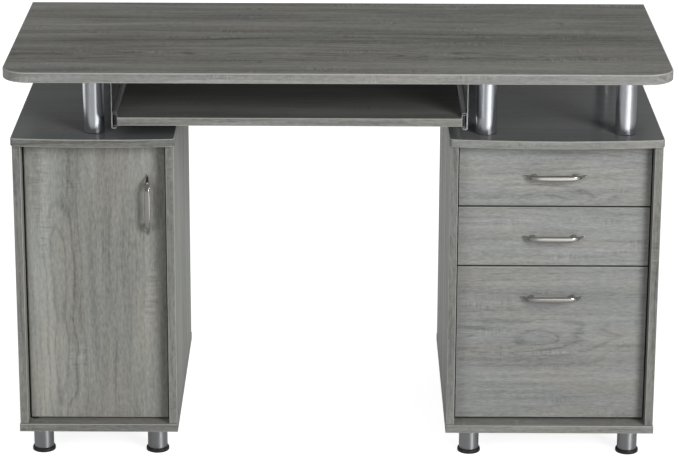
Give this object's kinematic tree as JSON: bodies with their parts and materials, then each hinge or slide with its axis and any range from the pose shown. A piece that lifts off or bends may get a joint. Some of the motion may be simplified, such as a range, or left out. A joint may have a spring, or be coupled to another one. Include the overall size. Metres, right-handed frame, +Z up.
{
  "type": "writing desk with drawers",
  "caption": "Two-pedestal writing desk: a thin top on tubular posts over a cabinet with a door, a bank of drawers, and a sliding keyboard tray.",
  "frame": {"origin": "on the floor, at the centre of the desk's footprint, below the middle of the desk top", "axes": "+X runs to the right along the desk's width, +Y from the front to the back, +Z up"},
  "size_m": [1.2, 0.56, 0.756],
  "materials": {
    "laminate": "grey wood-grain laminate, satin",
    "drawer_board": "grey foil-wrapped board, satin",
    "hardboard": "painted hardboard, matte",
    "chrome_tube": "polished",
    "satin_tube": "satin",
    "satin_nickel": "satin nickel plate",
    "zinc_sheet": "zinc plate",
    "steel_hardware": "bright zinc",
    "black_plastic": "matte"
  },
  "bodies": {
    "root": {"desktop": "laminate", "left_tray_bracket": "zinc_sheet", "right_tray_bracket": "zinc_sheet", "left_tray_channel": "zinc_sheet", "right_tray_channel": "zinc_sheet", "bracket_screws": "steel_hardware", "cabinet_front_post": "chrome_tube", "cabinet_rear_post": "chrome_tube", "unit_front_left_post": "chrome_tube", "unit_front_right_post": "chrome_tube", "unit_rear_left_post": "chrome_tube", "unit_rear_right_post": "chrome_tube", "post_bolts": "steel_hardware", "feet": "satin_tube", "foot_glides": "black_plastic", "cabinet_cap": "laminate", "cabinet_base": "laminate", "cabinet_left_side": "laminate", "cabinet_right_side": "laminate", "cabinet_back": "hardboard", "cabinet_shelf": "laminate", "shelf_pins": "steel_hardware", "door_pivot_bushes": "black_plastic", "door_catch": "black_plastic", "unit_cap": "laminate", "unit_base": "laminate", "unit_left_side": "laminate", "unit_right_side": "laminate", "unit_back": "hardboard", "unit_slide_channels": "zinc_sheet", "cam_locks": "zinc_sheet"},
    "tray": {"keyboard_tray": "laminate", "tray_rails": "zinc_sheet"},
    "door": {"door": "laminate", "door_handle": "satin_nickel", "door_pivot_pins": "steel_hardware", "door_strike_plate": "steel_hardware"},
    "upper_drawer": {"upper_drawer_front": "laminate", "upper_drawer_left_side": "drawer_board", "upper_drawer_right_side": "drawer_board", "upper_drawer_rear": "drawer_board", "upper_drawer_bottom": "hardboard", "upper_drawer_handle": "satin_nickel", "upper_drawer_slide_rails": "zinc_sheet"},
    "middle_drawer": {"middle_drawer_front": "laminate", "middle_drawer_left_side": "drawer_board", "middle_drawer_right_side": "drawer_board", "middle_drawer_rear": "drawer_board", "middle_drawer_bottom": "hardboard", "middle_drawer_handle": "satin_nickel", "middle_drawer_slide_rails": "zinc_sheet"},
    "lower_drawer": {"lower_drawer_front": "laminate", "lower_drawer_left_side": "drawer_board", "lower_drawer_right_side": "drawer_board", "lower_drawer_rear": "drawer_board", "lower_drawer_bottom": "hardboard", "lower_drawer_handle": "satin_nickel", "lower_drawer_slide_rails": "zinc_sheet", "file_rails": "steel_hardware"}
  },
  "joints": [
    {"name": "tray_slide", "type": "slide", "parent": "root", "child": "tray", "axis": [0, -1, 0], "range_m": [0, 0.22]},
    {"name": "door_hinge", "type": "hinge", "parent": "root", "child": "door", "pos_m": [-0.5635, -0.1995, 0.34], "axis": [0, 0, -1], "range_deg": [0, 90]},
    {"name": "upper_drawer_slide", "type": "slide", "parent": "root", "child": "upper_drawer", "axis": [0, -1, 0], "range_m": [0, 0.26]},
    {"name": "middle_drawer_slide", "type": "slide", "parent": "root", "child": "middle_drawer", "axis": [0, -1, 0], "range_m": [0, 0.26]},
    {"name": "lower_drawer_slide", "type": "slide", "parent": "root", "child": "lower_drawer", "axis": [0, -1, 0], "range_m": [0, 0.26]}
  ]
}
